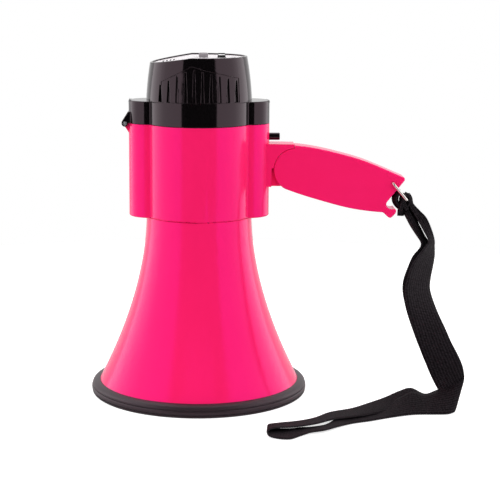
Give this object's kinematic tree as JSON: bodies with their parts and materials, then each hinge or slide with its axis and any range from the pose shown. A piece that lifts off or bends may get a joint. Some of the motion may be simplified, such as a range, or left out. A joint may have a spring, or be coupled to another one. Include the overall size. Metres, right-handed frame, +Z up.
{
  "type": "handheld megaphone",
  "caption": "Compact handheld megaphone with flared horn, lobed battery housing, hinged rear cap with controls, folding handle and wrist strap.",
  "frame": {"origin": "centre of the horn's mouth, on the plane the rim stands on", "axes": "+Z up the horn's axis to the rear cap, +X towards the folding handle, +Y to the side away from the viewer"},
  "size_m": [0.2652, 0.2008, 0.2506],
  "materials": {
    "pink_abs": "gloss",
    "rim_rubber": "satin",
    "black_gloss": "gloss",
    "foam": "matt",
    "pressed_steel": "satin",
    "surround_rubber": "matt",
    "cone_paper": "matt",
    "coil_copper": "satin",
    "ferrite": "matt",
    "zinc_screw": "satin",
    "inner_abs": "satin",
    "nickel_contact": "gloss",
    "cell_jacket": "satin",
    "bright_steel": "gloss",
    "nickel_wire": "gloss",
    "nylon_webbing": "matt",
    "silver_panel": "satin",
    "board_green": "satin",
    "wheel_abs": "satin",
    "knob_grey": "satin",
    "part_grey": "satin"
  },
  "bodies": {
    "housing": {"horn_bell": "pink_abs", "rim_trim": "rim_rubber", "body_housing": "pink_abs", "driver_gasket": "foam", "driver_frame": "pressed_steel", "driver_surround": "surround_rubber", "driver_cone": "cone_paper", "voice_coil": "coil_copper", "dust_cap": "cone_paper", "front_plate": "pressed_steel", "driver_magnet": "ferrite", "back_plate": "pressed_steel", "driver_screws": "zinc_screw", "battery_tray": "inner_abs", "tray_contacts": "nickel_contact", "tray_screws": "zinc_screw", "battery_cell_1": "cell_jacket", "battery_cell_2": "cell_jacket", "battery_cell_3": "cell_jacket", "battery_cell_4": "cell_jacket", "talk_switch": "inner_abs", "handle_bracket": "pink_abs", "bracket_screws": "zinc_screw"},
    "button": {"talk_button": "black_gloss", "talk_plunger": "inner_abs"},
    "handle": {"handle_shell_front": "pink_abs", "handle_shell_rear": "pink_abs", "handle_screws": "zinc_screw", "pivot_bolt": "bright_steel", "pivot_washers": "bright_steel"},
    "ring": {"strap_ring": "nickel_wire", "wrist_strap": "nylon_webbing"},
    "cap": {"rear_cap": "black_gloss", "hinge_pin": "bright_steel", "cap_deck": "inner_abs", "deck_contacts": "nickel_contact", "deck_screws": "zinc_screw", "control_panel": "silver_panel", "circuit_board": "board_green", "board_screws": "zinc_screw", "volume_pot": "part_grey", "mode_switch": "inner_abs", "mic_capsule": "part_grey", "mic_boot": "surround_rubber", "mic_foam": "foam", "amplifier_chip": "inner_abs", "capacitors": "part_grey"},
    "wheel": {"volume_wheel": "wheel_abs", "volume_shaft": "bright_steel"},
    "knob": {"mode_knob": "knob_grey"}
  },
  "joints": [
    {"name": "cap_hinge", "type": "hinge", "parent": "housing", "child": "cap", "pos_m": [-0.0537, 0, 0.1998], "axis": [0, -1, 0], "range_deg": [0, 110]},
    {"name": "handle_fold", "type": "hinge", "parent": "housing", "child": "handle", "pos_m": [0.0702, 0, 0.1663], "axis": [0, 1, 0], "range_deg": [0, 75]},
    {"name": "ring_swing", "type": "hinge", "parent": "handle", "child": "ring", "pos_m": [0.1413, 0, 0.1571], "axis": [0, 1, 0], "range_deg": [-75, 0]},
    {"name": "talk_press", "type": "slide", "parent": "housing", "child": "button", "axis": [-1, 0, 0], "range_m": [0, 0.0025], "stiffness_N_per_m": 800},
    {"name": "volume_turn", "type": "hinge", "parent": "cap", "child": "wheel", "pos_m": [0.0161, -0.0015, 0.2434], "axis": [1, 0, 0], "range_deg": [0, 270]},
    {"name": "mode_slide", "type": "slide", "parent": "cap", "child": "knob", "axis": [0, 1, 0], "range_m": [-0.002, 0.002]}
  ],
  "couplings": [
    {"joint": "ring_swing", "follows": "handle_fold", "ratio": -1}
  ]
}
